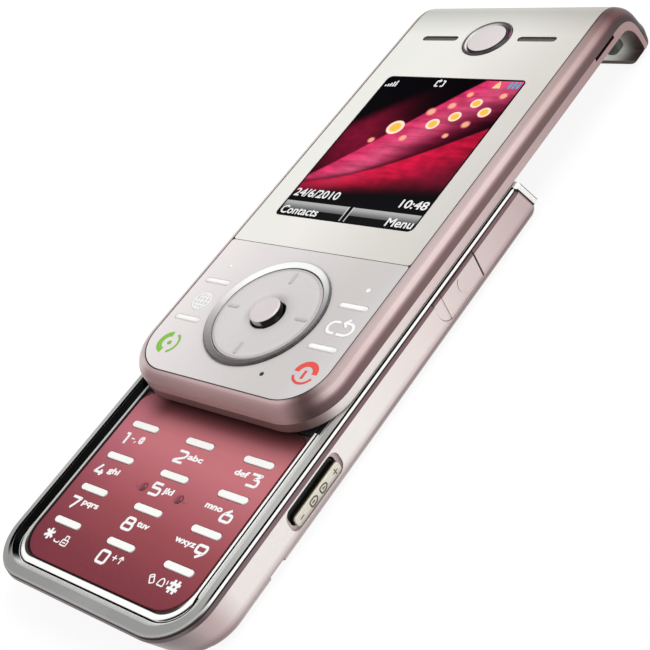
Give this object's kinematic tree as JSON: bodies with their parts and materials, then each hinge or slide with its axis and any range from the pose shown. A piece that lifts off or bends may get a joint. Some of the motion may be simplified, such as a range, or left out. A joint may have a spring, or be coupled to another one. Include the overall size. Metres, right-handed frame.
{
  "type": "slider phone",
  "caption": "Slider phone, shown open: a display half with a navigation disc and a hooked head slides along a lower half that carries the number keys.",
  "frame": {"origin": "on the lower half's flat back face, which lies on the table, on the centre line and midway along the lower half", "axes": "+Z out of the front face, +Y along the slide towards the earpiece, +X to the right seen from the front"},
  "size_m": [0.0518, 0.1536, 0.0158],
  "materials": {
    "pale_pink": "satin",
    "rose_metallic": "satin metallic paint",
    "rear_silver": "satin",
    "chrome_trim": "polished",
    "red_sheet": "brushed, anodised",
    "white_bar": "gloss",
    "silver_plate": "satin",
    "lilac_plate": "satin",
    "screen_glass": "gloss",
    "black_part": "matt",
    "spring_steel": "brushed",
    "board_green": "satin",
    "cell_wrap": "matt",
    "brass_contact": "plain",
    "dark_rubber": "matt",
    "lens_glass": "gloss"
  },
  "bodies": {
    "base": {"base_housing": "pale_pink", "bezel_frame": "chrome_trim", "keypad_sheet": "red_sheet", "keypad_domes": "spring_steel", "main_board": "board_green", "deck_plate": "black_part", "rail_plate": "spring_steel", "chassis_frame": "black_part", "battery": "cell_wrap", "battery_contacts": "brass_contact", "card_holder": "spring_steel", "loudspeaker": "black_part", "vibration_motor": "spring_steel", "antenna_carrier": "black_part", "side_socket": "spring_steel", "rocker_switches": "black_part", "camera_ring": "chrome_trim", "camera_lens": "lens_glass", "base_screws": "spring_steel"},
    "slide": {"slide_front_shell": "rose_metallic", "slide_rear_shell": "pale_pink", "display_plate": "silver_plate", "screen_window": "screen_glass", "window_gasket": "dark_rubber", "display_module": "black_part", "keypad_plate": "lilac_plate", "nav_ring": "chrome_trim", "nav_domes": "spring_steel", "slide_board": "board_green", "microphone": "black_part", "earpiece_mesh": "spring_steel", "earpiece_speaker": "black_part", "badge_ring": "chrome_trim", "badge_disc": "silver_plate", "carriage_plate": "spring_steel", "hood_bumpers": "dark_rubber", "slide_screws": "spring_steel"},
    "key_1": {"key_1": "white_bar"},
    "key_2": {"key_2": "white_bar"},
    "key_3": {"key_3": "white_bar"},
    "key_4": {"key_4": "white_bar"},
    "key_5": {"key_5": "white_bar"},
    "key_6": {"key_6": "white_bar"},
    "key_7": {"key_7": "white_bar"},
    "key_8": {"key_8": "white_bar"},
    "key_9": {"key_9": "white_bar"},
    "key_star": {"key_star": "white_bar"},
    "key_0": {"key_0": "white_bar"},
    "key_hash": {"key_hash": "white_bar"},
    "soft_key_left": {"soft_key_left": "white_bar"},
    "web_key": {"web_key": "white_bar"},
    "soft_key_right": {"soft_key_right": "white_bar"},
    "clear_key": {"clear_key": "white_bar"},
    "nav_core": {"nav_core": "black_part"},
    "nav_disc": {"nav_disc": "lilac_plate"},
    "centre_key": {"centre_key": "chrome_trim"},
    "side_rocker": {"side_rocker": "chrome_trim"},
    "port_flap": {"port_flap": "pale_pink"},
    "rear_cover": {"rear_cover": "rear_silver"}
  },
  "joints": [
    {"name": "slide_travel", "type": "slide", "parent": "base", "child": "slide", "axis": [0, 1, 0], "range_m": [-0.04, 0]},
    {"name": "key_1_press", "type": "slide", "parent": "base", "child": "key_1", "axis": [0, 0, 1], "range_m": [-0.00025, 0], "stiffness_N_per_m": 2400},
    {"name": "key_2_press", "type": "slide", "parent": "base", "child": "key_2", "axis": [0, 0, 1], "range_m": [-0.00025, 0], "stiffness_N_per_m": 2400},
    {"name": "key_3_press", "type": "slide", "parent": "base", "child": "key_3", "axis": [0, 0, 1], "range_m": [-0.00025, 0], "stiffness_N_per_m": 2400},
    {"name": "key_4_press", "type": "slide", "parent": "base", "child": "key_4", "axis": [0, 0, 1], "range_m": [-0.00025, 0], "stiffness_N_per_m": 2400},
    {"name": "key_5_press", "type": "slide", "parent": "base", "child": "key_5", "axis": [0, 0, 1], "range_m": [-0.00025, 0], "stiffness_N_per_m": 2400},
    {"name": "key_6_press", "type": "slide", "parent": "base", "child": "key_6", "axis": [0, 0, 1], "range_m": [-0.00025, 0], "stiffness_N_per_m": 2400},
    {"name": "key_7_press", "type": "slide", "parent": "base", "child": "key_7", "axis": [0, 0, 1], "range_m": [-0.00025, 0], "stiffness_N_per_m": 2400},
    {"name": "key_8_press", "type": "slide", "parent": "base", "child": "key_8", "axis": [0, 0, 1], "range_m": [-0.00025, 0], "stiffness_N_per_m": 2400},
    {"name": "key_9_press", "type": "slide", "parent": "base", "child": "key_9", "axis": [0, 0, 1], "range_m": [-0.00025, 0], "stiffness_N_per_m": 2400},
    {"name": "key_star_press", "type": "slide", "parent": "base", "child": "key_star", "axis": [0, 0, 1], "range_m": [-0.00025, 0], "stiffness_N_per_m": 2400},
    {"name": "key_0_press", "type": "slide", "parent": "base", "child": "key_0", "axis": [0, 0, 1], "range_m": [-0.00025, 0], "stiffness_N_per_m": 2400},
    {"name": "key_hash_press", "type": "slide", "parent": "base", "child": "key_hash", "axis": [0, 0, 1], "range_m": [-0.00025, 0], "stiffness_N_per_m": 2400},
    {"name": "soft_key_left_press", "type": "slide", "parent": "slide", "child": "soft_key_left", "axis": [0, 0, 1], "range_m": [-0.00025, 0], "stiffness_N_per_m": 2400},
    {"name": "web_key_press", "type": "slide", "parent": "slide", "child": "web_key", "axis": [0, 0, 1], "range_m": [-0.00025, 0], "stiffness_N_per_m": 2400},
    {"name": "soft_key_right_press", "type": "slide", "parent": "slide", "child": "soft_key_right", "axis": [0, 0, 1], "range_m": [-0.00025, 0], "stiffness_N_per_m": 2400},
    {"name": "clear_key_press", "type": "slide", "parent": "slide", "child": "clear_key", "axis": [0, 0, 1], "range_m": [-0.00025, 0], "stiffness_N_per_m": 2400},
    {"name": "centre_press", "type": "slide", "parent": "slide", "child": "centre_key", "axis": [0, 0, 1], "range_m": [-0.0003, 0], "stiffness_N_per_m": 2400},
    {"name": "nav_side_tilt", "type": "hinge", "parent": "slide", "child": "nav_core", "pos_m": [0, 0.00615, 0.0129], "axis": [0, 1, 0], "range_deg": [-1.2, 1.2], "stiffness_Nm_per_rad": 0.6},
    {"name": "nav_up_tilt", "type": "hinge", "parent": "nav_core", "child": "nav_disc", "pos_m": [0, 0.00615, 0.0129], "axis": [1, 0, 0], "range_deg": [-1.2, 1.2], "stiffness_Nm_per_rad": 0.6},
    {"name": "rocker_tilt", "type": "hinge", "parent": "base", "child": "side_rocker", "pos_m": [0.0244, -0.019, 0.0049], "axis": [0, 0, 1], "range_deg": [-2.5, 2.5], "stiffness_Nm_per_rad": 0.3},
    {"name": "flap_swing", "type": "hinge", "parent": "base", "child": "port_flap", "pos_m": [0.025, 0.0321, 0.0053], "axis": [0, 0, 1], "range_deg": [0, 100]},
    {"name": "cover_slide", "type": "slide", "parent": "base", "child": "rear_cover", "axis": [0, -1, 0], "range_m": [0, 0.012]}
  ]
}
